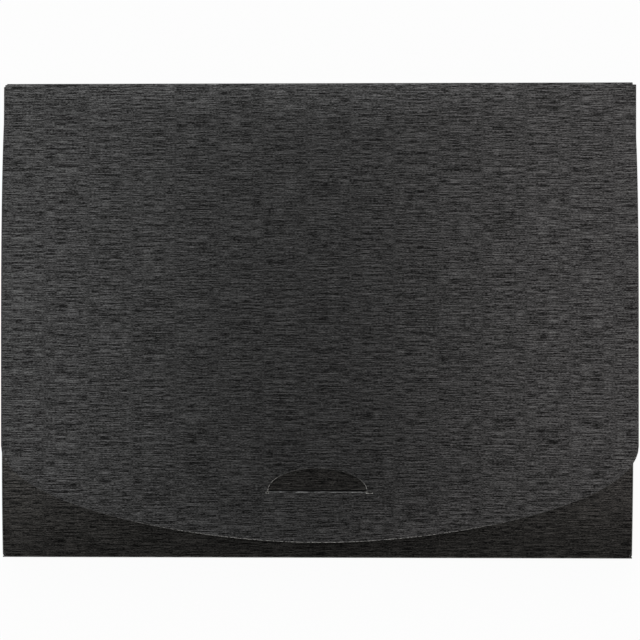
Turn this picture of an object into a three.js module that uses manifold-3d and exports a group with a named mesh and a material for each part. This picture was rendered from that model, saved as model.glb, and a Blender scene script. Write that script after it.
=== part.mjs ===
// A document box folded from dark card, closed by a wide flap with a half-moon tongue.
// Millimetres, +Z up. The box lies on its back panel: +X runs along the crease, +Y from the
// bottom wall to the top wall, and the flap is on top. The origin is under the middle of the flap.
import * as THREE from "three";
import { mergeVertices } from "three/addons/utils/BufferGeometryUtils.js";
import Module from "manifold-3d";

const wasm = await Module();
wasm.setup();

// The card
const CARD = 0.6;
const FOLD_RADIUS = 1.2; // outside radius of a folded edge
const CREASE_GAP = 0.3; // between two stretches of card that swing on a crease

// The case
const CASE_WIDTH = 317; // outside, across the side walls
const CASE_LENGTH = 239; // outside, from the bottom wall to the top wall
const MOUTH_DEPTH = 28; // outside, where the box opens
const BOTTOM_DEPTH = 22; // outside, at the bottom wall
const DROOP_LENGTH = 60; // stretch over which the front panel curves down to the bottom wall
const CASE_SHIFT = 0.8; // how far the case sits to the left of the flap
const MOUTH_GAP = 0.8; // between the top wall and the edges round the mouth
const GLUE_TAB = 15; // width of the tabs glued inside the back panel and the bottom wall
const TAB_BEVEL = 8; // how far the ends of the long tabs are cut back

// The top wall
const TOP_WALL_WIDTH = 314.5;

// The flap
const FLAP_WIDTH = 320.6; // at its widest
const FLAP_LENGTH = 230.8; // from the top wall's outer face to the end
const FLAP_DROOP = 1.1; // how much lower its end lies than its crease
const END_RISE = 48.6; // length of the rounded end
const END_HANDLE = 66.6; // how flat the rounded end is at its middle
const CORNER_HANDLE = 29.4; // how straight it leaves the sides
const LEFT_SET_IN = 2.2; // how much narrower each side is near the crease
const RIGHT_SET_IN = 1.5;
const LEFT_STRAIGHT = 6; // stretch of side beside the crease that stays straight
const RIGHT_STRAIGHT = 28;
const SIDE_BULGE = 55; // from the crease to where the sides are about to reach full width
const SIDE_FULL = 125; // from the crease to where they reach it
const LEFT_NOTCH = 0.5; // height of the step beside the crease
const RIGHT_NOTCH = 1.1;

// The half-moon tongue and the slit that holds it
const TONGUE_WIDTH = 49.6;
const TONGUE_LENGTH = 11.4;
const TONGUE_ROOT = 204.9; // from the top wall's outer face to the tongue's outer face
const TONGUE_BEND = 0.8; // radius of the bend, to the middle of the card
const NICK_HEIGHT = 0.5; // slots that end the cut on both sides of the tongue
const LEFT_NICK = 1;
const RIGHT_NICK = 2.8;
const SLIT_PLAY = 0.4; // slit past the tongue, on the side of the bottom wall
const SLIT_SWING = 1; // slit past the tongue where it sweeps as the flap is lifted
const SLIT_SIDE_PLAY = 1.2; // slit past each end of the tongue

// How finely curves are drawn
const DROOP_STEPS = 10;
const FOLD_STEPS = 5;
const OUTLINE_STEPS = 20;

const yTop = CASE_LENGTH / 2;
const yBottom = -CASE_LENGTH / 2;
const yMouth = yTop - CARD - MOUTH_GAP;
const creaseY = yTop - CARD / 2;
const rearCreaseZ = CARD / 2;
const frontCreaseZ = MOUTH_DEPTH + CREASE_GAP + CARD / 2;
const creaseSetback = CARD / 2 + CREASE_GAP;
const flapEndY = yTop - FLAP_LENGTH;
const rootY = yTop - TONGUE_ROOT;
const bendStartY = rootY - CARD / 2 - TONGUE_BEND;
const halfTongue = TONGUE_WIDTH / 2;
const droopStartY = yBottom + DROOP_LENGTH;
const foldInsideRadius = FOLD_RADIUS - CARD;

// Radius of the arc that falls by drop over a stretch of the given length.
function arcRadius(length, drop) {
  return (length * length + drop * drop) / (2 * drop);
}

const frontRadius = arcRadius(DROOP_LENGTH, MOUTH_DEPTH - BOTTOM_DEPTH);
const flapDroopLength = droopStartY - flapEndY;
const flapRadius = arcRadius(flapDroopLength, FLAP_DROOP);

// How far a panel of the given radius has fallen at y.
function fall(y, radius) {
  const along = Math.max(0, droopStartY - y);
  return radius - Math.sqrt(radius * radius - along * along);
}

function frontZ(y) {
  return MOUTH_DEPTH - fall(y, frontRadius);
}

function flapMiddleZ(y) {
  return frontCreaseZ - fall(y, flapRadius);
}

// Values from first to last in equal steps, both ends included.
function spread(first, last, steps) {
  return Array.from({ length: steps + 1 }, (_, i) => first + ((last - first) * i) / steps);
}

function arcPoints(centreU, centreV, radius, from, to, steps = FOLD_STEPS) {
  return spread(from, to, steps).map(
    (angle) => new THREE.Vector2(centreU + radius * Math.cos(angle), centreV + radius * Math.sin(angle)),
  );
}

// A closed geometry as a solid that can be cut and joined.
function solidOf(geometry) {
  const bare = geometry.index ? geometry.toNonIndexed() : geometry.clone();
  bare.deleteAttribute("normal");
  bare.deleteAttribute("uv");
  const merged = mergeVertices(bare, 1e-5);
  const mesh = new wasm.Mesh({
    numProp: 3,
    vertProperties: new Float32Array(merged.attributes.position.array),
    triVerts: new Uint32Array(merged.index.array),
  });
  return new wasm.Manifold(mesh);
}

// An outline in the plane of the first two axes, drawn out along the third from low to high.
function prism(outline, axes, low, high) {
  const shape = Array.isArray(outline) ? new THREE.Shape(outline) : outline;
  const geometry = new THREE.ExtrudeGeometry(shape, {
    depth: high - low,
    bevelEnabled: false,
    curveSegments: OUTLINE_STEPS,
  });
  geometry.translate(0, 0, low);
  const [first, second, third] = axes;
  geometry.applyMatrix4(new THREE.Matrix4().makeBasis(first, second, third));
  return solidOf(geometry);
}

const X = new THREE.Vector3(1, 0, 0);
const Y = new THREE.Vector3(0, 1, 0);
const Z = new THREE.Vector3(0, 0, 1);
const MINUS_Y = new THREE.Vector3(0, -1, 0);
const SEEN_FROM_SIDE = [Y, Z, X]; // an outline in y and z, drawn out along x
const SEEN_FROM_ABOVE = [X, Y, Z]; // an outline in x and y, drawn out along z
const SEEN_FROM_END = [X, Z, MINUS_Y]; // an outline in x and z, drawn out along -y

function box(x0, x1, y0, y1, z0, z1) {
  const geometry = new THREE.BoxGeometry(x1 - x0, y1 - y0, z1 - z0);
  geometry.translate((x0 + x1) / 2, (y0 + y1) / 2, (z0 + z1) / 2);
  return solidOf(geometry);
}

// A solid through closed loops with as many points each, one loop for each station along y.
function loft(stations, loopAt) {
  const loops = stations.map(loopAt);
  const count = loops[0].length;
  const positions = [];
  loops.forEach((loop, i) => loop.forEach((p) => positions.push(p.x, stations[i], p.y)));
  const indices = [];
  for (let i = 0; i < loops.length - 1; i++) {
    for (let j = 0; j < count; j++) {
      const a = i * count + j;
      const b = i * count + ((j + 1) % count);
      indices.push(a, b, b + count, a, b + count, a + count);
    }
  }
  const cap = THREE.ShapeUtils.triangulateShape(loops[0], []);
  const last = (loops.length - 1) * count;
  const turned = THREE.ShapeUtils.isClockWise(loops[0]);
  cap.forEach(([a, b, c]) => {
    indices.push(...(turned ? [a, b, c] : [a, c, b]));
    indices.push(...(turned ? [last + a, last + c, last + b] : [last + a, last + b, last + c]));
  });
  const geometry = new THREE.BufferGeometry();
  geometry.setAttribute("position", new THREE.Float32BufferAttribute(positions, 3));
  geometry.setIndex(indices);
  const made = solidOf(geometry);
  return made;
}

function meshOf(name, solid, material) {
  const made = solid.getMesh();
  const geometry = new THREE.BufferGeometry();
  geometry.setAttribute("position", new THREE.BufferAttribute(made.vertProperties, 3));
  geometry.setIndex(new THREE.BufferAttribute(made.triVerts, 1));
  const flat = geometry.toNonIndexed();
  flat.computeVertexNormals();
  const mesh = new THREE.Mesh(flat, material);
  mesh.name = name;
  return mesh;
}

// The stretch of the front fold where the front panel leaves the bottom wall.
const bottomSlope = Math.asin((DROOP_LENGTH - FOLD_RADIUS) / frontRadius);
const frontStartY = yBottom + FOLD_RADIUS * (1 - Math.sin(bottomSlope));
const frontFoldZ = frontZ(frontStartY) - FOLD_RADIUS * Math.cos(bottomSlope);
const frontStations = [...spread(frontStartY, droopStartY, DROOP_STEPS), yMouth];

// The sheet that makes the back panel, the bottom wall and the front panel, seen from the side.
function wrapProfile() {
  const backEndY = creaseY - creaseSetback;
  const foldY = yBottom + FOLD_RADIUS;
  const quarter = Math.PI / 2;
  const frontFoldEnd = quarter + bottomSlope;
  const outside = [
    new THREE.Vector2(backEndY, 0),
    ...arcPoints(foldY, FOLD_RADIUS, FOLD_RADIUS, -quarter, -2 * quarter),
    ...arcPoints(foldY, frontFoldZ, FOLD_RADIUS, 2 * quarter, frontFoldEnd).slice(0, -1),
    ...frontStations.map((y) => new THREE.Vector2(y, frontZ(y))),
  ];
  const inside = [
    ...frontStations.map((y) => new THREE.Vector2(y, frontZ(y) - CARD)).reverse(),
    ...arcPoints(foldY, frontFoldZ, foldInsideRadius, frontFoldEnd, 2 * quarter),
    ...arcPoints(foldY, FOLD_RADIUS, foldInsideRadius, -2 * quarter, -quarter),
    new THREE.Vector2(backEndY, CARD),
  ];
  return [...outside, ...inside];
}

// Front edge, side wall and glue tab of the right side, as a loop in x and z at one place along y.
function sideLoop(y) {
  const foldX = CASE_WIDTH / 2 - FOLD_RADIUS;
  const upperZ = frontZ(y) - FOLD_RADIUS;
  const lowerZ = CARD + FOLD_RADIUS;
  const cut = Math.max(0, TAB_BEVEL - (yMouth - y), TAB_BEVEL - (y - frontStartY - GLUE_TAB));
  const tabX = foldX - GLUE_TAB + Math.min(cut, TAB_BEVEL);
  const quarter = Math.PI / 2;
  return [
    ...arcPoints(foldX, upperZ, FOLD_RADIUS, quarter, 0),
    ...arcPoints(foldX, lowerZ, FOLD_RADIUS, 0, -quarter),
    new THREE.Vector2(tabX, CARD),
    new THREE.Vector2(tabX, 2 * CARD),
    ...arcPoints(foldX, lowerZ, foldInsideRadius, -quarter, 0),
    ...arcPoints(foldX, upperZ, foldInsideRadius, 0, quarter),
  ];
}

// The tab folded in from the end of the right side wall, glued to the bottom wall.
function endTab() {
  const foldX = CASE_WIDTH / 2 - FOLD_RADIUS;
  const foldY = yBottom + CARD + FOLD_RADIUS;
  const wallY = foldY + CARD;
  const quarter = Math.PI / 2;
  const outline = [
    new THREE.Vector2(CASE_WIDTH / 2, wallY),
    ...arcPoints(foldX, foldY, FOLD_RADIUS, 0, -quarter),
    new THREE.Vector2(foldX - GLUE_TAB, yBottom + CARD),
    new THREE.Vector2(foldX - GLUE_TAB, yBottom + 2 * CARD),
    ...arcPoints(foldX, foldY, foldInsideRadius, -quarter, 0),
    new THREE.Vector2(CASE_WIDTH / 2 - CARD, wallY),
  ];
  const low = CARD + FOLD_RADIUS;
  const high = frontZ(foldY) - FOLD_RADIUS - CARD;
  return prism(outline, SEEN_FROM_ABOVE, low, high);
}

function sideStations() {
  const start = yBottom + CARD + FOLD_RADIUS;
  const bevels = [start + GLUE_TAB, start + GLUE_TAB + TAB_BEVEL, yMouth - TAB_BEVEL];
  const all = [start, ...bevels, ...frontStations.filter((y) => y > start + CARD)];
  return all.sort((a, b) => a - b);
}

function makeCase(material) {
  const halfWidth = CASE_WIDTH / 2;
  const foldX = halfWidth - FOLD_RADIUS;
  const wrap = prism(wrapProfile(), SEEN_FROM_SIDE, -foldX, foldX);
  const full = prism(wrapProfile(), SEEN_FROM_SIDE, -halfWidth, halfWidth);
  const backAndBottom = full.subtract(
    box(-halfWidth - 1, halfWidth + 1, yBottom - 1, yTop + 1, frontFoldZ, MOUTH_DEPTH + 1),
  );
  const right = loft(sideStations(), sideLoop).add(endTab());
  const left = right.mirror([1, 0, 0]);
  const slit = box(
    CASE_SHIFT - halfTongue - SLIT_SIDE_PLAY,
    CASE_SHIFT + halfTongue + SLIT_SIDE_PLAY,
    rootY - CARD - SLIT_PLAY,
    rootY + SLIT_SWING,
    BOTTOM_DEPTH,
    MOUTH_DEPTH + 1,
  );
  const folded = wrap.add(backAndBottom).add(right).add(left).subtract(slit);
  const mesh = meshOf("case", folded, material);
  mesh.position.x = -CASE_SHIFT;
  return mesh;
}

// A slab whose lower end is round on the rear crease and whose upper end stops below the front one.
function makeTopWall(material) {
  const top = frontCreaseZ - creaseSetback;
  const outline = [
    ...arcPoints(creaseY, rearCreaseZ, CARD / 2, -Math.PI, 0),
    new THREE.Vector2(yTop, top),
    new THREE.Vector2(yTop - CARD, top),
  ];
  const slab = prism(outline, SEEN_FROM_SIDE, -TOP_WALL_WIDTH / 2, TOP_WALL_WIDTH / 2);
  return meshOf("top_wall", slab, material);
}

// The flap's card seen from the side, round on the front crease.
function flapProfile() {
  const stations = spread(droopStartY, flapEndY, DROOP_STEPS);
  const half = CARD / 2;
  return [
    ...arcPoints(creaseY, frontCreaseZ, half, -Math.PI / 2, Math.PI / 2),
    ...stations.map((y) => new THREE.Vector2(y, flapMiddleZ(y) + half)),
    ...stations.map((y) => new THREE.Vector2(y, flapMiddleZ(y) - half)).reverse(),
  ];
}

// The flap's outline seen from above, with the half-moon window that the tongue leaves.
function flapOutline() {
  const halfWidth = FLAP_WIDTH / 2;
  const halfCrease = TOP_WALL_WIDTH / 2;
  const shoulderY = flapEndY + END_RISE;
  const handleY = shoulderY - CORNER_HANDLE;
  const bulgeY = yTop - SIDE_BULGE;
  const fullY = yTop - SIDE_FULL;
  const shape = new THREE.Shape();
  shape.moveTo(-halfCrease, yTop + 1);
  shape.lineTo(-halfCrease, yTop - LEFT_NOTCH);
  shape.lineTo(LEFT_SET_IN - halfWidth, yTop - LEFT_NOTCH);
  shape.lineTo(LEFT_SET_IN - halfWidth, yTop - LEFT_STRAIGHT);
  shape.quadraticCurveTo(-halfWidth, bulgeY, -halfWidth, fullY);
  shape.lineTo(-halfWidth, shoulderY);
  shape.bezierCurveTo(-halfWidth, handleY, -END_HANDLE, flapEndY, 0, flapEndY);
  shape.bezierCurveTo(END_HANDLE, flapEndY, halfWidth, handleY, halfWidth, shoulderY);
  shape.lineTo(halfWidth, fullY);
  shape.quadraticCurveTo(halfWidth, bulgeY, halfWidth - RIGHT_SET_IN, yTop - RIGHT_STRAIGHT);
  shape.lineTo(halfWidth - RIGHT_SET_IN, yTop - RIGHT_NOTCH);
  shape.lineTo(halfCrease, yTop - RIGHT_NOTCH);
  shape.lineTo(halfCrease, yTop + 1);
  const nickY = bendStartY + NICK_HEIGHT;
  const window = new THREE.Path();
  window.moveTo(-halfTongue - LEFT_NICK, bendStartY);
  window.lineTo(halfTongue + RIGHT_NICK, bendStartY);
  window.lineTo(halfTongue + RIGHT_NICK, nickY);
  window.lineTo(halfTongue, nickY);
  window.absellipse(0, rootY, halfTongue, TONGUE_LENGTH, 0, Math.PI, false, 0);
  window.lineTo(-halfTongue, nickY);
  window.lineTo(-halfTongue - LEFT_NICK, nickY);
  shape.holes.push(window);
  return shape;
}

// The tongue bends down at its root and hangs through the slit; its free edge is the half moon.
function makeTongue() {
  const middleZ = flapMiddleZ(bendStartY);
  const bendZ = middleZ - TONGUE_BEND;
  const straight = TONGUE_LENGTH - (TONGUE_BEND * Math.PI) / 2;
  const inside = TONGUE_BEND - CARD / 2;
  const outside = TONGUE_BEND + CARD / 2;
  const joinY = bendStartY - CARD;
  const profile = [
    new THREE.Vector2(joinY, middleZ - CARD / 2),
    ...arcPoints(bendStartY, bendZ, inside, Math.PI / 2, 0),
    new THREE.Vector2(bendStartY + inside, bendZ - straight),
    new THREE.Vector2(bendStartY + outside, bendZ - straight),
    ...arcPoints(bendStartY, bendZ, outside, 0, Math.PI / 2),
    new THREE.Vector2(joinY, middleZ + CARD / 2),
  ];
  const sheet = prism(profile, SEEN_FROM_SIDE, -halfTongue, halfTongue);
  const outline = new THREE.Shape();
  outline.moveTo(halfTongue + 1, middleZ + CARD);
  outline.lineTo(-halfTongue - 1, middleZ + CARD);
  outline.lineTo(-halfTongue - 1, bendZ);
  outline.lineTo(-halfTongue, bendZ);
  outline.absellipse(0, bendZ, halfTongue, straight, Math.PI, 2 * Math.PI, false, 0);
  outline.lineTo(halfTongue + 1, bendZ);
  return sheet.intersect(prism(outline, SEEN_FROM_END, -yTop, yTop));
}

function makeFlap(material) {
  const sheet = prism(flapProfile(), SEEN_FROM_SIDE, -FLAP_WIDTH / 2 - 1, FLAP_WIDTH / 2 + 1);
  const cutter = prism(flapOutline(), SEEN_FROM_ABOVE, MOUTH_DEPTH - DROOP_LENGTH, MOUTH_DEPTH + 10);
  return meshOf("flap", sheet.intersect(cutter).add(makeTongue()), material);
}

const brushedCard = { roughness: 0.45, metalness: 0.2 };
const part = new THREE.Group();
part.add(makeCase(new THREE.MeshStandardMaterial({ color: 0x262524, ...brushedCard })));
part.add(makeTopWall(new THREE.MeshStandardMaterial({ color: 0x313232, ...brushedCard })));
part.add(makeFlap(new THREE.MeshStandardMaterial({ color: 0x3c3d3e, ...brushedCard })));

export default part;
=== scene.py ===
import math

import bpy
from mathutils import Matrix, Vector


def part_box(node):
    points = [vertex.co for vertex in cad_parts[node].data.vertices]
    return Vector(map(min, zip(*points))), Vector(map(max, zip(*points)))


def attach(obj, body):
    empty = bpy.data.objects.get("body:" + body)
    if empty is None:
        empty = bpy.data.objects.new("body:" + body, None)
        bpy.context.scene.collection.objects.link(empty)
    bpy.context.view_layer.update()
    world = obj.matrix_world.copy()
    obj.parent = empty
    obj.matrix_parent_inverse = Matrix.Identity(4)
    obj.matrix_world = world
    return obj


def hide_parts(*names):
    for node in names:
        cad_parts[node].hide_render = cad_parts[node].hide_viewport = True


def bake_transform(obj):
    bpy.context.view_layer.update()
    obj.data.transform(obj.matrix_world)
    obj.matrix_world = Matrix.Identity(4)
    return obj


# A document box folded from dark brushed card, lying on its back and seen from straight above.
# Each sheet is drawn flat, as it is cut, and then folded. Metres, in the frame of the solids.

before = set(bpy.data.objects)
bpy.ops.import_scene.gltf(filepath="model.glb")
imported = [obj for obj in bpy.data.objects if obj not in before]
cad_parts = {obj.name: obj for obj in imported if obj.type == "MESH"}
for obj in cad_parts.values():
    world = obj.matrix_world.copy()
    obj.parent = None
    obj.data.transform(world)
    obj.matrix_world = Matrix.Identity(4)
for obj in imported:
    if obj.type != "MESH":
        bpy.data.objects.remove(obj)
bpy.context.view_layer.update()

MM = 0.001

# The card and its folds
CARD = 0.6 * MM
FOLD_RADIUS = 1.2 * MM  # outside
MIDDLE_RADIUS = FOLD_RADIUS - CARD / 2
QUARTER = math.pi / 2
FOLD_LENGTH = MIDDLE_RADIUS * QUARTER
FOLD_STEPS = 5
EDGE_WEAR = 0.2 * MM  # width of the light line along a cut edge
SHARP = math.radians(60)
SMOOTH = math.radians(32)
SAME_POINT = 0.005 * MM
SAME_LINE = 0.002 * MM
ROUNDING = 0.001 * MM

# How finely the sheets are scored, so that they bend in a curve
OUTLINE_STEPS = 28
WIDTH_STEPS = 12
DROOP_STEPS = 20
FRONT_STEPS = 10
BACK_STEPS = 8
DENT_STEPS = 24
FLAP_END_STEPS = 12
FLAP_STEPS = 8
LIFT_STEPS = 30
CREASE_STEPS = 8

# Where each finish stands in a sheet's list; the outside comes first
INSIDE = 1
CUT_EDGE = 2

# The case
SIDE_SPRING = 0.4 * MM  # how far the folded sides spring out
CASE_SKEW = 0.006  # the case is folded slightly out of square
BOTTOM_DEPTH = 22 * MM
DROOP_LENGTH = 60 * MM
MOUTH_GAP = 0.8 * MM
GLUE_TAB = 15 * MM
TAB_BEVEL = 8 * MM

# The flap
FLAP_DROOP = 1.1 * MM
END_RISE = 48.6 * MM
END_HANDLE = 66.6 * MM
CORNER_HANDLE = 29.4 * MM
LEFT_SET_IN = 2.2 * MM
RIGHT_SET_IN = 1.3 * MM
LEFT_STRAIGHT = 6 * MM
RIGHT_STRAIGHT = 28 * MM
LEFT_BULGE = 38 * MM
RIGHT_BULGE = 55 * MM
SIDE_FULL = 125 * MM
END_LIFT = 1.8 * MM  # how far the bent tongue lifts the flap's end
LIFT_SPREAD = 45 * MM
LIFT_CURVE = 1.5
RIGHT_NOTCH = 1.1 * MM
CREASE_RADIUS = 0.6 * MM  # of the two creases that move, to the middle of the card

# The half-moon tongue and its slit
TONGUE_WIDTH = 49.6 * MM
TONGUE_LENGTH = 11.4 * MM
TONGUE_ROOT = 204.9 * MM
TONGUE_BEND = 0.8 * MM
TONGUE_KERF = 0.15 * MM
TONGUE_RIM = 1.004  # just past the half moon's edge, which is at 1
NICK_HEIGHT = 0.5 * MM
LEFT_NICK = 1 * MM
RIGHT_NICK = 2.8 * MM
SLIT_PLAY = 0.4 * MM
SLIT_SWING = 0.65 * MM
SLIT_SIDE_PLAY = 1.2 * MM
TONGUE_X = -0.7 * MM  # the cut is this far off the middle
SLIT_DENT = 1.2 * MM  # how far the tongue presses the front panel in
DENT_WIDTH = 60 * MM
DENT_LENGTH = 26 * MM
NEAR_DENT = 1.5 * DENT_WIDTH  # how far to each side the front panel is scored for it

case_low, case_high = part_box("case")
wall_low, wall_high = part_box("top_wall")
flap_low, flap_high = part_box("flap")

case_x = (case_low.x + case_high.x) / 2
case_half = (case_high.x - case_low.x) / 2 + SIDE_SPRING
fold_x = case_half - FOLD_RADIUS
mouth_depth = case_high.z
bottom_y = case_low.y
top_y = wall_high.y
mouth_y = top_y - CARD - MOUTH_GAP
droop_y = bottom_y + DROOP_LENGTH
half_crease = (wall_high.x - wall_low.x) / 2
half_flap = (flap_high.x - flap_low.x) / 2
flap_z = flap_high.z - CARD / 2
flap_end_y = flap_low.y
crease_y = top_y - CARD / 2
flap_start_y = crease_y - CREASE_RADIUS
root_y = top_y - TONGUE_ROOT
bend_y = root_y - CARD / 2 - TONGUE_BEND
bend_length = TONGUE_BEND * QUARTER
half_tongue = TONGUE_WIDTH / 2


def steps(first, last, count):
    """Values from first to last in equal steps, both ends included."""
    return [first + (last - first) * i / count for i in range(count + 1)]


# Making and folding a sheet


def deselect_all():
    bpy.ops.object.select_all(action="DESELECT")


def flat_sheet(name, low, high):
    """A flat rectangle of card between two corners, in the plane it is cut from."""
    deselect_all()
    bpy.ops.mesh.primitive_plane_add(size=1, location=(0, 0, 0))
    sheet = bpy.context.object
    sheet.name = name
    sheet.data.name = name
    bpy.ops.object.mode_set(mode="EDIT")
    bpy.ops.transform.resize(value=(high[0] - low[0], high[1] - low[1], 1))
    bpy.ops.transform.translate(value=((low[0] + high[0]) / 2, (low[1] + high[1]) / 2, 0))
    bpy.ops.object.mode_set(mode="OBJECT")
    return sheet


def cut_outline(name, knots):
    """One flat face inside a closed outline. A knot is a point with its two handles; none means straight."""
    curve = bpy.data.curves.new(name, "CURVE")
    curve.dimensions = "2D"
    curve.fill_mode = "NONE"
    curve.resolution_u = OUTLINE_STEPS
    spline = curve.splines.new("BEZIER")
    spline.bezier_points.add(len(knots) - 1)
    spline.use_cyclic_u = True
    for knot, (point, before, after) in zip(spline.bezier_points, knots):
        knot.co = (*point, 0)
        knot.handle_left_type = "FREE" if before else "VECTOR"
        knot.handle_right_type = "FREE" if after else "VECTOR"
        if before:
            knot.handle_left = (*before, 0)
        if after:
            knot.handle_right = (*after, 0)
    face = bpy.data.objects.new(name, curve)
    bpy.context.collection.objects.link(face)
    deselect_all()
    bpy.context.view_layer.objects.active = face
    face.select_set(True)
    bpy.ops.object.convert(target="MESH")
    face = bpy.context.object
    bpy.ops.object.mode_set(mode="EDIT")
    bpy.ops.mesh.select_all(action="SELECT")
    bpy.ops.mesh.edge_face_add()
    bpy.ops.object.mode_set(mode="OBJECT")
    if face.data.polygons[0].normal.z < 0:
        bpy.ops.object.mode_set(mode="EDIT")
        bpy.ops.mesh.flip_normals()
        bpy.ops.object.mode_set(mode="OBJECT")
    return face


def joined(sheet, other):
    """Two flat faces that share a straight edge, made one sheet."""
    deselect_all()
    other.select_set(True)
    sheet.select_set(True)
    bpy.context.view_layer.objects.active = sheet
    bpy.ops.object.join()
    bpy.ops.object.mode_set(mode="EDIT")
    bpy.ops.mesh.select_all(action="SELECT")
    bpy.ops.mesh.remove_doubles(threshold=SAME_POINT)
    bpy.ops.object.mode_set(mode="OBJECT")
    return sheet


def select_faces(sheet, wanted):
    """Leaves edit mode on, with just the faces selected whose middle is wanted."""
    bpy.ops.object.mode_set(mode="EDIT")
    bpy.ops.mesh.select_mode(type="FACE")
    bpy.ops.mesh.select_all(action="DESELECT")
    bpy.ops.object.mode_set(mode="OBJECT")
    for face in sheet.data.polygons:
        face.select = wanted(face.center)
    bpy.ops.object.mode_set(mode="EDIT")


def always(_middle):
    return True


def score_lines(sheet, across=(), along=(), where=always):
    """Cuts the sheet's faces along straight lines, so that it can bend there."""
    cuts = [((value, 0, 0), (1, 0, 0)) for value in across]
    cuts += [((0, value, 0), (0, 1, 0)) for value in along]
    for place, normal in cuts:
        select_faces(sheet, where)
        bpy.ops.mesh.bisect(plane_co=place, plane_no=normal, threshold=SAME_LINE)
        bpy.ops.object.mode_set(mode="OBJECT")


def cut_away(sheet, unwanted):
    select_faces(sheet, unwanted)
    bpy.ops.mesh.delete(type="FACE")
    bpy.ops.object.mode_set(mode="OBJECT")


def keep_blank_map(sheet):
    """Notes where each point lies on the flat card, so that the brushed finish follows the sheet."""
    blank = sheet.data.uv_layers.new(name="Blank")
    points = sheet.data.vertices
    for loop in sheet.data.loops:
        blank.data[loop.index].uv = points[loop.vertex_index].co.xy


def fold(sheet, place):
    for vertex in sheet.data.vertices:
        vertex.co = place(vertex.co.x, vertex.co.y)


def cut_edge_finish(sheet, hidden_end):
    """Rounds off the cut edges, in the light colour of the core, but not where a sheet goes on."""
    bpy.ops.object.mode_set(mode="EDIT")
    bpy.ops.mesh.select_mode(type="EDGE")
    bpy.ops.mesh.select_all(action="DESELECT")
    bpy.ops.mesh.edges_select_sharp(sharpness=SHARP)
    bpy.ops.object.mode_set(mode="OBJECT")
    points = sheet.data.vertices
    for edge in sheet.data.edges:
        middle = (points[edge.vertices[0]].co + points[edge.vertices[1]].co) / 2
        if edge.select and hidden_end(middle):
            edge.select = False
    bpy.ops.object.mode_set(mode="EDIT")
    bpy.ops.mesh.bevel(offset=EDGE_WEAR, segments=1, affect="EDGES", material=CUT_EDGE, clamp_overlap=False)
    bpy.ops.object.mode_set(mode="OBJECT")


def thicken(sheet, finishes, hidden_end):
    """Gives the folded sheet its thickness, its three finishes and its cut edges."""
    deselect_all()
    bpy.context.view_layer.objects.active = sheet
    sheet.select_set(True)
    for finish in finishes:
        sheet.data.materials.append(finish)
    body = sheet.modifiers.new("card", "SOLIDIFY")
    body.thickness = CARD
    body.offset = 0
    body.use_even_offset = True
    body.material_offset = INSIDE
    body.material_offset_rim = CUT_EDGE
    bpy.ops.object.modifier_apply(modifier=body.name)
    cut_edge_finish(sheet, hidden_end)
    bpy.ops.object.shade_smooth_by_angle(angle=SMOOTH)


# The case: back panel, bottom wall, front panel, side walls and tabs, from one blank.
# On the blank, "across" is measured from the middle and "along" from the foot of the front panel,
# positive towards the mouth and negative round the bottom wall to the back panel.


def arc_radius(length, drop):
    return (length * length + drop * drop) / (2 * drop)


front_radius = arc_radius(DROOP_LENGTH, mouth_depth - BOTTOM_DEPTH)
front_middle_radius = front_radius - CARD / 2
front_centre_z = mouth_depth - front_radius
foot_slope = math.asin((DROOP_LENGTH - FOLD_RADIUS) / (front_radius - FOLD_RADIUS))
foot_fold_z = front_centre_z + (front_radius - FOLD_RADIUS) * math.cos(foot_slope)
foot_fold_length = MIDDLE_RADIUS * (QUARTER - foot_slope)
droop_arc = front_middle_radius * foot_slope
bottom_wall_length = foot_fold_z - FOLD_RADIUS
wall_start = -foot_fold_length
wall_end = wall_start - bottom_wall_length
back_start = wall_end - FOLD_LENGTH
back_end = back_start - (case_high.y - bottom_y - FOLD_RADIUS)
mouth_along = droop_arc + mouth_y - droop_y
tab_fold_z = CARD + FOLD_RADIUS
side_length = mouth_depth - FOLD_RADIUS - tab_fold_z
side_fold_y = bottom_y + CARD + FOLD_RADIUS
wall_across = fold_x + FOLD_LENGTH
tab_fold_across = wall_across + side_length
tab_across = tab_fold_across + FOLD_LENGTH


def along_at(y):
    """How far along the blank the front panel reaches a place in y."""
    if y >= droop_y:
        return droop_arc + y - droop_y
    return droop_arc - front_middle_radius * math.asin((droop_y - y) / front_middle_radius)


side_start = along_at(side_fold_y)


def slit_dent(x, y):
    """Depth of the shallow hollow round the slit."""
    reach = math.hypot((x - TONGUE_X) / DENT_WIDTH, (y - root_y) / DENT_LENGTH)
    return SLIT_DENT * (0.5 + 0.5 * math.cos(math.pi * min(1, reach)))


def wrap_point(along):
    """Middle of the card, and the way it faces, on the strip of front, bottom and back, as (y, z) pairs."""
    if along >= droop_arc:
        return (droop_y + along - droop_arc, mouth_depth - CARD / 2), (0, 1)
    if along >= 0:
        angle = foot_slope - along / front_middle_radius
        out = (-math.sin(angle), math.cos(angle))
        place = (droop_y + front_middle_radius * out[0], front_centre_z + front_middle_radius * out[1])
        return place, out
    if along >= wall_start:
        angle = QUARTER + foot_slope - along / MIDDLE_RADIUS
        out = (math.cos(angle), math.sin(angle))
        centre = (bottom_y + FOLD_RADIUS, foot_fold_z)
        return (centre[0] + MIDDLE_RADIUS * out[0], centre[1] + MIDDLE_RADIUS * out[1]), out
    if along >= wall_end:
        return (bottom_y + CARD / 2, foot_fold_z - (wall_start - along)), (-1, 0)
    if along >= back_start:
        angle = 2 * QUARTER + (wall_end - along) / MIDDLE_RADIUS
        out = (math.cos(angle), math.sin(angle))
        centre = (bottom_y + FOLD_RADIUS, FOLD_RADIUS)
        return (centre[0] + MIDDLE_RADIUS * out[0], centre[1] + MIDDLE_RADIUS * out[1]), out
    return (bottom_y + FOLD_RADIUS + back_start - along, CARD / 2), (0, -1)


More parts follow.
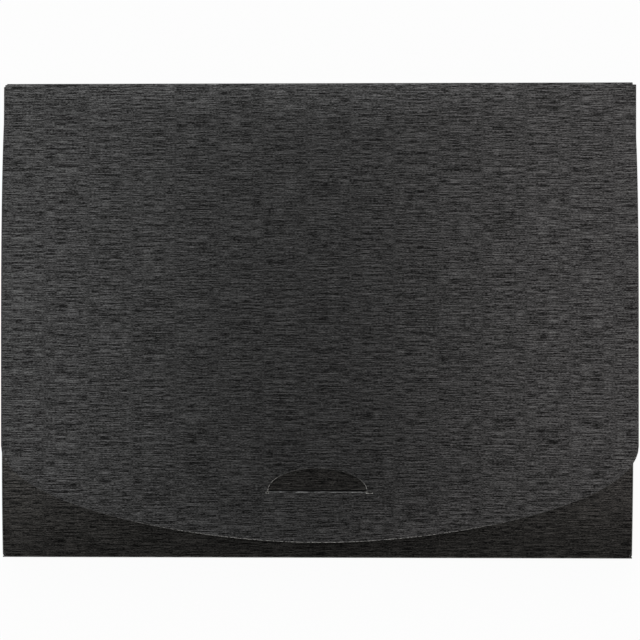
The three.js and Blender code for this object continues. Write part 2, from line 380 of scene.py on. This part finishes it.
def side_point(across, along):
    """A point of the side wall or its glue tab; across is how far it lies past the front's fold line."""
    (y, z), (out_y, out_z) = wrap_point(along)
    fold_y = y - MIDDLE_RADIUS * out_y
    fold_z = z - MIDDLE_RADIUS * out_z
    if across <= FOLD_LENGTH:
        angle = across / MIDDLE_RADIUS
        up = MIDDLE_RADIUS * math.cos(angle)
        return Vector((fold_x + MIDDLE_RADIUS * math.sin(angle), fold_y + up * out_y, fold_z + up * out_z))
    down = min(1, (across - FOLD_LENGTH) / side_length)
    z = fold_z + (tab_fold_z - fold_z) * down
    if across <= FOLD_LENGTH + side_length:
        return Vector((fold_x + MIDDLE_RADIUS, fold_y, z))
    angle = min(QUARTER, (across - FOLD_LENGTH - side_length) / MIDDLE_RADIUS)
    inward = max(0, across - 2 * FOLD_LENGTH - side_length)
    cut = max(TAB_BEVEL - (mouth_along - along), TAB_BEVEL - (along - side_start - GLUE_TAB), 0)
    inward *= 1 - min(cut, TAB_BEVEL) / GLUE_TAB
    x = fold_x + MIDDLE_RADIUS * math.cos(angle) - inward
    return Vector((x, fold_y, tab_fold_z - MIDDLE_RADIUS * math.sin(angle)))


def end_tab_point(across, along):
    """A point of the tab that folds in from the end of the side wall, along the bottom wall."""
    wall = side_point(across, side_start)
    past = side_start - along
    angle = min(QUARTER, past / MIDDLE_RADIUS)
    inward = max(0, past - FOLD_LENGTH)
    x = fold_x + MIDDLE_RADIUS * math.cos(angle) - inward
    return Vector((x, side_fold_y - MIDDLE_RADIUS * math.sin(angle), wall.z))


def fold_case_point(across, along):
    side = math.copysign(1, across)
    past = abs(across) - fold_x
    on_side = past > 0 and along >= side_start - ROUNDING
    on_end_tab = abs(across) > case_half + 10 * ROUNDING and not on_side
    if on_side:
        point = side_point(past, along)
    elif on_end_tab:
        point = end_tab_point(past, along)
    else:
        (y, z), _out = wrap_point(along)
        if along > 0:
            z -= slit_dent(case_x + across, y)
        point = Vector((abs(across), y, z))
    return Vector((case_x + side * point.x + CASE_SKEW * point.y, point.y, point.z))


def outside_case_blank(middle):
    across = abs(middle.x)
    along = middle.y
    if across < fold_x:
        slit_low = along_at(root_y - CARD - SLIT_PLAY)
        slit_high = along_at(root_y + SLIT_SWING)
        in_slit = abs(middle.x + case_x - TONGUE_X) < half_tongue + SLIT_SIDE_PLAY
        return in_slit and slit_low < along < slit_high
    if across < case_half:
        return wall_start < along < side_start
    if across < wall_across:
        return along < side_start
    if across < tab_fold_across:
        return along < side_start - FOLD_LENGTH - GLUE_TAB
    return along < side_start


def both_sides(values):
    return [side * value for value in values for side in (-1, 1)]


def make_case(finishes):
    sheet = flat_sheet("case_card", (-tab_across - GLUE_TAB, back_end), (tab_across + GLUE_TAB, mouth_along))
    across = steps(fold_x, wall_across, FOLD_STEPS) + [case_half, (wall_across + tab_fold_across) / 2]
    across += steps(tab_fold_across, tab_across, FOLD_STEPS)
    across = both_sides(across)
    slit_half = half_tongue + SLIT_SIDE_PLAY
    across += [TONGUE_X - case_x - slit_half, TONGUE_X - case_x + slit_half]
    across += steps(-fold_x, fold_x, WIDTH_STEPS)[1:-1]
    along = steps(0, droop_arc, DROOP_STEPS) + steps(droop_arc, mouth_along, FRONT_STEPS)[1:-1]
    along += steps(wall_start, 0, FOLD_STEPS)[:-1] + steps(back_start, wall_end, FOLD_STEPS)
    along += steps(back_end, back_start, BACK_STEPS)[1:-1] + [(wall_start + wall_end) / 2]
    along += [along_at(root_y - CARD - SLIT_PLAY), along_at(root_y + SLIT_SWING)]
    along += [mouth_along - TAB_BEVEL, side_start + GLUE_TAB, side_start + GLUE_TAB + TAB_BEVEL]
    along += steps(side_start - FOLD_LENGTH, side_start, FOLD_STEPS) + [side_start - FOLD_LENGTH - GLUE_TAB]
    score_lines(sheet, across, along)
    dented = steps(TONGUE_X - case_x - DENT_WIDTH, TONGUE_X - case_x + DENT_WIDTH, DENT_STEPS)
    score_lines(sheet, dented, (), lambda p: 0 < p.y < droop_arc and abs(p.x) < NEAR_DENT)
    cut_away(sheet, outside_case_blank)
    keep_blank_map(sheet)
    fold(sheet, fold_case_point)
    back_edge_y = case_high.y - CARD
    thicken(sheet, finishes, lambda p: p.y > back_edge_y and p.z < 2 * CARD)
    return sheet


# The flap, its front crease and the top wall, from one blank. Along it is y, until the crease.

crease_length = CREASE_RADIUS * QUARTER
top_wall_start_z = case_low.z + CARD / 2 + CREASE_RADIUS
top_wall_end_z = flap_z - CREASE_RADIUS
flap_radius = arc_radius(droop_y - flap_end_y, FLAP_DROOP)


def flap_middle_z(x, y):
    along = max(0, droop_y - y)
    level = flap_z - flap_radius + math.sqrt(flap_radius * flap_radius - along * along)
    past_bend = max(0, (bend_y - y) / (bend_y - flap_end_y))
    return level + END_LIFT * past_bend**LIFT_CURVE * math.exp(-0.5 * ((x - TONGUE_X) / LIFT_SPREAD) ** 2)


ROUND_HANDLE = 0.5523  # a handle that makes a quarter of an ellipse, as a share of its radius


def between(start, control):
    """The handle of a cubic that follows the parabola with this control point."""
    return tuple(a + (b - a) * 2 / 3 for a, b in zip(start, control))


def flap_half(side, set_in, bulge, straight, notch_y, nick):
    """Half of the flap and top wall on the blank: its outline and its half of the tongue's cut."""
    top = flap_start_y + crease_length + top_wall_end_z - top_wall_start_z
    edge = half_flap - set_in
    start = (edge, top_y - straight)
    full = (half_flap, top_y - SIDE_FULL)
    control = (half_flap, top_y - bulge)
    shoulder_y = flap_end_y + END_RISE
    inner = half_tongue - TONGUE_KERF
    inner_base = bend_y + bend_length
    inner_peak = bend_y + TONGUE_LENGTH
    inner_rise = inner_base + (inner_peak - inner_base) * ROUND_HANDLE
    window_peak = root_y + TONGUE_LENGTH
    window_rise = root_y + TONGUE_LENGTH * ROUND_HANDLE
    middle = side * TONGUE_X
    knots = [
        ((0, top), None, None),
        ((half_crease, top), None, None),
        ((half_crease, notch_y), None, None),
        ((edge, notch_y), None, None),
        (start, None, between(start, control)),
        (full, between(full, control), None),
        ((half_flap, shoulder_y), None, (half_flap, shoulder_y - CORNER_HANDLE)),
        ((0, flap_end_y), (END_HANDLE, flap_end_y), None),
        ((middle, bend_y), None, None),
        ((middle, inner_peak), None, (middle + inner * ROUND_HANDLE, inner_peak)),
        ((middle + inner, inner_base), (middle + inner, inner_rise), None),
        ((middle + inner, bend_y), None, None),
        ((middle + half_tongue + nick, bend_y), None, None),
        ((middle + half_tongue + nick, bend_y + NICK_HEIGHT), None, None),
        ((middle + half_tongue, bend_y + NICK_HEIGHT), None, None),
        ((middle + half_tongue, root_y), None, (middle + half_tongue, window_rise)),
        ((middle, window_peak), (middle + half_tongue * ROUND_HANDLE, window_peak), None),
    ]

    def placed(point):
        return point and (side * point[0], point[1])

    return cut_outline("flap_card", [tuple(placed(point) for point in knot) for knot in knots])


def on_tongue(x, y):
    """Whether a point of the flat blank is on the tongue, past the line where it bends."""
    if y < bend_y or abs(x - TONGUE_X) > half_tongue:
        return False
    rise = (y - bend_y - bend_length) / (TONGUE_LENGTH - bend_length)
    run = (x - TONGUE_X) / (half_tongue - TONGUE_KERF)
    return max(0, rise) ** 2 + run**2 < TONGUE_RIM


def fold_flap_point(x, y):
    if y > flap_start_y:
        past = y - flap_start_y
        if past < crease_length:
            angle = past / CREASE_RADIUS
            return Vector(
                (
                    x,
                    flap_start_y + CREASE_RADIUS * math.sin(angle),
                    top_wall_end_z + CREASE_RADIUS * math.cos(angle),
                )
            )
        return Vector((x, crease_y, top_wall_end_z - (past - crease_length)))
    if on_tongue(x, y):
        start_z = flap_middle_z(x, bend_y)
        past = y - bend_y
        angle = min(QUARTER, past / TONGUE_BEND)
        down = max(0, past - bend_length)
        return Vector(
            (
                x,
                bend_y + TONGUE_BEND * math.sin(angle),
                start_z - TONGUE_BEND * (1 - math.cos(angle)) - down,
            )
        )
    return Vector((x, y, flap_middle_z(x, y)))


def make_flap(finishes):
    left = flap_half(-1, LEFT_SET_IN, LEFT_BULGE, LEFT_STRAIGHT, flap_start_y + CARD / 2, LEFT_NICK)
    right = flap_half(1, RIGHT_SET_IN, RIGHT_BULGE, RIGHT_STRAIGHT, top_y - RIGHT_NOTCH, RIGHT_NICK)
    sheet = joined(left, right)
    along = steps(flap_end_y, droop_y, FLAP_END_STEPS)[1:] + steps(droop_y, flap_start_y, FLAP_STEPS)[1:]
    along += steps(flap_start_y, flap_start_y + crease_length, FOLD_STEPS)[1:] + [bend_y]
    score_lines(sheet, (), along)
    lifted = steps(TONGUE_X - 3 * LIFT_SPREAD, TONGUE_X + 3 * LIFT_SPREAD, LIFT_STEPS)
    score_lines(sheet, lifted, (), lambda middle: middle.y < bend_y)
    bends = steps(bend_y, bend_y + bend_length, FOLD_STEPS)[1:]
    score_lines(sheet, (), bends, lambda middle: on_tongue(middle.x, middle.y))
    keep_blank_map(sheet)
    fold(sheet, fold_flap_point)
    hidden_z = top_wall_start_z + CARD
    hidden_x = half_crease - CARD
    thicken(sheet, finishes, lambda p: p.y > crease_y - CARD and p.z < hidden_z and abs(p.x) < hidden_x)
    return sheet


# The rear crease, which joins the back panel to the top wall.


def fold_rear_point(x, along):
    angle = along / CREASE_RADIUS
    y = flap_start_y + CREASE_RADIUS * math.sin(angle)
    return Vector((x, y, top_wall_start_z - CREASE_RADIUS * math.cos(angle)))


def make_rear_crease(finishes):
    sheet = flat_sheet("rear_crease", (-half_crease, 0), (half_crease, crease_length))
    across = steps(-half_crease, half_crease, CREASE_STEPS)[1:-1]
    score_lines(sheet, across, steps(0, crease_length, FOLD_STEPS)[1:-1])
    keep_blank_map(sheet)
    bpy.ops.object.mode_set(mode="EDIT")
    bpy.ops.mesh.select_all(action="SELECT")
    bpy.ops.mesh.flip_normals()
    bpy.ops.object.mode_set(mode="OBJECT")
    fold(sheet, fold_rear_point)
    thicken(sheet, finishes, lambda p: abs(p.x) < half_crease - CARD)
    return sheet


# Finishes

# Strokes of the brushed film, each with its length and width in millimetres
SHORT_STROKE = (1.1, 0.33)
MIDDLING_STROKE = (5.5, 0.34)
LONG_STROKE = (22, 0.36)

# Where the light line of the cut edges changes: it fades outwards from the middle, and is dimmed up the
# window's arch as painted shade
EDGE_LIGHT_MIDDLE = (60 * MM, 110 * MM)
ARCH_SIDE = (root_y + 3 * MM, root_y + 9 * MM)
PAST_ARCH = (root_y + 12 * MM, root_y + 14 * MM)


class Finish:
    """A material and a short way to add and link its nodes."""

    def __init__(self, name):
        self.material = bpy.data.materials.new(name)
        self.material.use_nodes = True
        self.tree = self.material.node_tree
        self.shader = self.tree.nodes["Principled BSDF"]

    def node(self, kind, inputs=None, **settings):
        made = self.tree.nodes.new(kind)
        for key, value in settings.items():
            setattr(made, key, value)
        for key, value in (inputs or {}).items():
            if isinstance(value, bpy.types.NodeSocket):
                self.tree.links.new(value, made.inputs[key])
            else:
                made.inputs[key].default_value = value
        return made

    def link(self, socket, name):
        self.tree.links.new(socket, self.shader.inputs[name])

    def set(self, **values):
        for name, value in values.items():
            self.shader.inputs[name.replace("_", " ")].default_value = value

    def blank_position(self, scale, place=(0, 0, 0)):
        """Place on the flat card, stretched; scale is cells per metre across and along."""
        source = self.node("ShaderNodeUVMap", uv_map="Blank")
        return self.node(
            "ShaderNodeMapping", {"Vector": source.outputs["UV"], "Scale": (*scale, 1), "Location": place}
        ).outputs["Vector"]

    def noise(self, vector, detail=2.0, rough=0.5):
        made = self.node(
            "ShaderNodeTexNoise",
            {"Vector": vector, "Scale": 1.0, "Detail": detail, "Roughness": rough},
            noise_dimensions="2D",
        )
        return made.outputs["Fac"]

    def ranged(self, value, low, high, to_low, to_high):
        return self.node(
            "ShaderNodeMapRange",
            {"Value": value, "From Min": low, "From Max": high, "To Min": to_low, "To Max": to_high},
        ).outputs["Result"]

    def math(self, operation, first, second=0.0):
        return self.node("ShaderNodeMath", {0: first, 1: second}, operation=operation).outputs["Value"]

    def summed(self, *parts):
        """Several patterns added up, each with its share."""
        total, share = parts[0]
        total = self.math("MULTIPLY", total, share)
        for pattern, share in parts[1:]:
            total = self.math("ADD", total, self.math("MULTIPLY", pattern, share))
        return total

    def mixed(self, factor, first, second):
        made = self.node("ShaderNodeMix", {"Factor": factor}, data_type="RGBA")
        for index, value in ((6, first), (7, second)):
            if isinstance(value, bpy.types.NodeSocket):
                self.tree.links.new(value, made.inputs[index])
            else:
                made.inputs[index].default_value = (*value, 1)
        return made.outputs[2]


def per_mm(across, along):
    """Scale of a pattern whose cells measure so many millimetres."""
    return (1 / (across * MM), 1 / (along * MM))


def brushed_finish(name, dark, light):
    """Film-faced card with fine streaks along the width, from short, middling and long strokes."""
    finish = Finish(name)
    short = finish.noise(finish.blank_position(per_mm(*SHORT_STROKE)), 2.0, 0.6)
    middling = finish.noise(finish.blank_position(per_mm(*MIDDLING_STROKE), (3.1, 7.7, 0)), 1.0, 0.6)
    long = finish.noise(finish.blank_position(per_mm(*LONG_STROKE), (11.3, 2.9, 0)), 1.0, 0.5)
    strokes = finish.summed((short, 0.36), (middling, 0.36), (long, 0.28))
    level = finish.ranged(strokes, 0.443, 0.648, 0.0, 1.0)
    finish.link(finish.mixed(level, dark, light), "Base Color")
    finish.link(finish.ranged(level, 0.0, 1.0, 0.32, 0.26), "Roughness")
    bump = finish.node("ShaderNodeBump", {"Height": strokes, "Strength": 0.35, "Distance": 0.00006})
    finish.link(bump.outputs["Normal"], "Normal")
    tangent = finish.node("ShaderNodeTangent", direction_type="UV_MAP", uv_map="Blank")
    finish.link(tangent.outputs["Tangent"], "Tangent")
    finish.set(Metallic=0.75, Anisotropic=0.6, Anisotropic_Rotation=0.25)
    return finish.material


def inner_finish():
    """Uncoated pale board on the inside."""
    finish = Finish("inner_board")
    fibre = finish.noise(finish.blank_position(per_mm(1.1, 0.8)), 5.0, 0.65)
    cloud = finish.noise(finish.blank_position(per_mm(14, 11), (5.0, 1.0, 0)), 2.0, 0.5)
    level = finish.ranged(finish.summed((fibre, 0.6), (cloud, 0.4)), 0.3, 0.7, 0, 1)
    finish.link(finish.mixed(level, (0.42, 0.41, 0.39), (0.52, 0.51, 0.485)), "Base Color")
    finish.set(Roughness=0.85, Specular_IOR_Level=0.25)
    bump = finish.node("ShaderNodeBump", {"Height": fibre, "Strength": 0.3, "Distance": 0.00008})
    finish.link(bump.outputs["Normal"], "Normal")
    return finish.material


def cut_edge_material():
    """The light core that shows in breaks of the film along a cut edge, fading outwards from the middle of
    the width; dimmed at the window's crown as painted shade.
    """
    finish = Finish("cut_edge")
    torn = finish.noise(finish.blank_position(per_mm(1.4, 1.4)), 3.0, 0.7)
    blank = finish.node("ShaderNodeUVMap", uv_map="Blank").outputs["UV"]
    place = finish.node("ShaderNodeSeparateXYZ", {"Vector": blank}).outputs
    # The light core is full in the middle of the width and falls to a fifth past 110 mm out
    near_middle = finish.ranged(finish.math("ABSOLUTE", place["X"]), *EDGE_LIGHT_MIDDLE, 1.0, 0.2)
    # Painted shade: the light core is dimmed to 0.3 round the crown of the window's arch, for the shade that
    # lies there
    arch_side = finish.ranged(place["Y"], *ARCH_SIDE, 1.0, 0.3)
    past_arch = finish.ranged(place["Y"], *PAST_ARCH, 0.0, 1.0)
    bare_core_and_painted_shade = finish.math("MULTIPLY", finish.ranged(torn, 0.4, 0.6, 0.0, 1.0), near_middle)
    bare_core_and_painted_shade = finish.math("MULTIPLY", bare_core_and_painted_shade, finish.math("MAXIMUM", arch_side, past_arch))
    finish.link(finish.mixed(bare_core_and_painted_shade, (0.05, 0.05, 0.05), (0.55, 0.54, 0.51)), "Base Color")
    finish.set(Roughness=0.8, Specular_IOR_Level=0.25)
    return finish.material


inner = inner_finish()
core = cut_edge_material()
# Painted shade: the case's film is the flap's film made darker and a little warmer, for the strip below the
# flap
front_finish_painted_shade = brushed_finish("brushed_case_painted_shade", (0.002, 0.0019, 0.0018), (0.134, 0.129, 0.121))
flap_finish = brushed_finish("brushed_flap", (0.002, 0.002, 0.002), (0.17, 0.17, 0.17))

case = make_case([front_finish_painted_shade, inner, core])
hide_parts("case")
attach(case, "case")

flap = make_flap([flap_finish, inner, core])
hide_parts("flap", "top_wall")
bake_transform(flap)

rear = make_rear_crease([flap_finish, inner, core])
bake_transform(rear)


# The studio: a white floor, soft lamps on both sides and beyond the crease, and the camera above

FLOOR_HALF = 6.0
FLOOR_GAP = 0.05 * MM
FLOOR_GLOW = 0.96  # share of the floor that shows as plain white, whatever falls on it
SKY_WHITE_TO = 0.3  # height in the sky, where 1 is straight up
SKY_DIM_FROM = 0.7
SKY_DIM = 0.05
LAMP_HEIGHT = 1.3
SIDE_LAMP = (0.78, 1.3)
CAMERA_DISTANCE = 1.6
CAMERA_YAW = math.radians(2.1)
VIEW_CENTRE = (0.65 * MM, 0.5 * MM)
VIEW_WIDTH = 321.4 * MM  # what the frame covers, at the height of the flap
SENSOR = 36

floor_z = case_low.z - FLOOR_GAP


def background_ray(finish):
    """1 for a ray that shows the background itself: seen, mirrored or through glass."""
    path = finish.node("ShaderNodeLightPath").outputs
    seen = finish.math("MAXIMUM", path["Is Camera Ray"], path["Is Glossy Ray"])
    return finish.math("MAXIMUM", seen, path["Is Transmission Ray"])


def make_floor():
    deselect_all()
    bpy.ops.mesh.primitive_grid_add(x_subdivisions=4, y_subdivisions=4, size=2 * FLOOR_HALF)
    floor = bpy.context.object
    floor.name = "floor"
    bpy.ops.object.mode_set(mode="EDIT")
    bpy.ops.transform.translate(value=(0, 0, floor_z))
    bpy.ops.object.mode_set(mode="OBJECT")
    finish = Finish("floor_white")
    finish.set(Base_Color=(0.8, 0.8, 0.8, 1), Roughness=0.9)
    glow = finish.node("ShaderNodeEmission", {"Color": (1, 1, 1, 1), "Strength": 1.0})
    share = finish.math("MULTIPLY", background_ray(finish), FLOOR_GLOW)
    mix = finish.node("ShaderNodeMixShader", {0: share, 1: finish.shader.outputs[0], 2: glow.outputs[0]})
    finish.tree.links.new(mix.outputs[0], finish.tree.nodes["Material Output"].inputs["Surface"])
    floor.data.materials.append(finish.material)


def make_world():
    """White towards the horizon, where a camera can see it, and dim overhead, as a dark studio ceiling."""
    world = bpy.data.worlds.new("studio")
    bpy.context.scene.world = world
    world.use_nodes = True
    nodes = world.node_tree.nodes
    links = world.node_tree.links
    place = nodes.new("ShaderNodeTexCoord")
    split = nodes.new("ShaderNodeSeparateXYZ")
    links.new(place.outputs["Generated"], split.inputs[0])
    height = nodes.new("ShaderNodeMapRange")
    height.interpolation_type = "SMOOTHSTEP"
    height.inputs["From Min"].default_value = SKY_WHITE_TO
    height.inputs["From Max"].default_value = SKY_DIM_FROM
    height.inputs["To Min"].default_value = 1.0
    height.inputs["To Max"].default_value = SKY_DIM
    links.new(split.outputs["Z"], height.inputs["Value"])
    links.new(height.outputs["Result"], nodes["Background"].inputs["Strength"])
    nodes["Background"].inputs["Color"].default_value = (1, 1, 1, 1)


def make_lamp(name, place, size, watts, colour=(1, 1, 1), aim=None):
    """A soft rectangle of light that faces straight down, or a point; its width stays level."""
    lamp = bpy.data.lights.new(name, "AREA")
    lamp.shape = "RECTANGLE"
    lamp.size, lamp.size_y = size
    lamp.energy = watts
    lamp.color = colour
    holder = bpy.data.objects.new(name, lamp)
    bpy.context.collection.objects.link(holder)
    holder.location = place
    away = Vector(place) - Vector(aim or (place[0], place[1], 0))
    holder.rotation_euler = away.to_track_quat("Z", "Y").to_euler()


def make_camera():
    lens = bpy.data.cameras.new("camera")
    camera = bpy.data.objects.new("camera", lens)
    bpy.context.collection.objects.link(camera)
    bpy.context.scene.camera = camera
    camera.location = (
        VIEW_CENTRE[0] + CAMERA_DISTANCE * math.sin(CAMERA_YAW),
        VIEW_CENTRE[1],
        flap_high.z + CAMERA_DISTANCE * math.cos(CAMERA_YAW),
    )
    camera.rotation_euler = (0, CAMERA_YAW, 0)
    lens.sensor_width = SENSOR
    lens.lens = SENSOR * CAMERA_DISTANCE / VIEW_WIDTH


make_floor()
make_world()
make_lamp("left_softbox", (-0.585, 0.2, LAMP_HEIGHT), SIDE_LAMP, 2.92, (1, 1, 0.995))
make_lamp("right_softbox", (0.475, 0.2, LAMP_HEIGHT), SIDE_LAMP, 2.97, (1, 0.955, 0.94))
make_lamp("middle_softbox", (-0.06, 0.66, LAMP_HEIGHT), (0.3, 0.54), 0.8)
make_lamp("top_softbox", (0, 0.9, 0.9), (1.4, 0.6), 4, aim=(0, 0, 0))
make_camera()

bpy.context.scene.view_settings.view_transform = "Standard"
